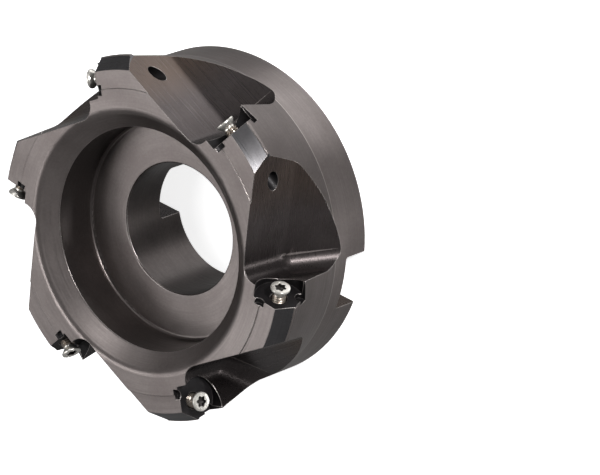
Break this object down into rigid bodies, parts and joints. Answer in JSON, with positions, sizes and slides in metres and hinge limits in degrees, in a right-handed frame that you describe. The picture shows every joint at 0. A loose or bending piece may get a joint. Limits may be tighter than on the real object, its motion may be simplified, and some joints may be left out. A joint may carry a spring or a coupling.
{
  "type": "face mill",
  "caption": "Indexable shell face mill: a gashed steel ring with round insert pockets on its rim, a screw in each, an arbor bore, a deep counterbore and drive slots across its back.",
  "frame": {"origin": "centre of the hub's back face, on the cutter's axis", "axes": "+Z along the cutter's axis towards the cutting face, X along the drive slots, Y completes a right-handed frame; the cutter turns anticlockwise seen from +Z"},
  "size_m": [0.1048, 0.0982, 0.0419],
  "materials": {
    "body_steel": "dark satin, hardened and blackened alloy steel",
    "screw_steel": "bright, nickel coloured steel"
  },
  "bodies": {
    "cutter_body": {"cutter_body": "body_steel"},
    "insert_screw_1": {"insert_screw_1": "screw_steel"},
    "insert_screw_2": {"insert_screw_2": "screw_steel"},
    "insert_screw_3": {"insert_screw_3": "screw_steel"},
    "insert_screw_4": {"insert_screw_4": "screw_steel"},
    "insert_screw_5": {"insert_screw_5": "screw_steel"},
    "insert_screw_6": {"insert_screw_6": "screw_steel"}
  },
  "joints": [
    {"name": "insert_screw_1_travel", "type": "slide", "parent": "cutter_body", "child": "insert_screw_1", "axis": [0.1054, 0.9675, 0.2299], "range_m": [-0.0021, 0.0078]},
    {"name": "insert_screw_2_travel", "type": "slide", "parent": "cutter_body", "child": "insert_screw_2", "axis": [-0.7852, 0.575, 0.2299], "range_m": [-0.0021, 0.0078]},
    {"name": "insert_screw_3_travel", "type": "slide", "parent": "cutter_body", "child": "insert_screw_3", "axis": [-0.8906, -0.3925, 0.2299], "range_m": [-0.0021, 0.0078]},
    {"name": "insert_screw_4_travel", "type": "slide", "parent": "cutter_body", "child": "insert_screw_4", "axis": [-0.1054, -0.9675, 0.2299], "range_m": [-0.0021, 0.0078]},
    {"name": "insert_screw_5_travel", "type": "slide", "parent": "cutter_body", "child": "insert_screw_5", "axis": [0.7852, -0.575, 0.2299], "range_m": [-0.0021, 0.0078]},
    {"name": "insert_screw_6_travel", "type": "slide", "parent": "cutter_body", "child": "insert_screw_6", "axis": [0.8906, 0.3925, 0.2299], "range_m": [-0.0021, 0.0078]}
  ]
}
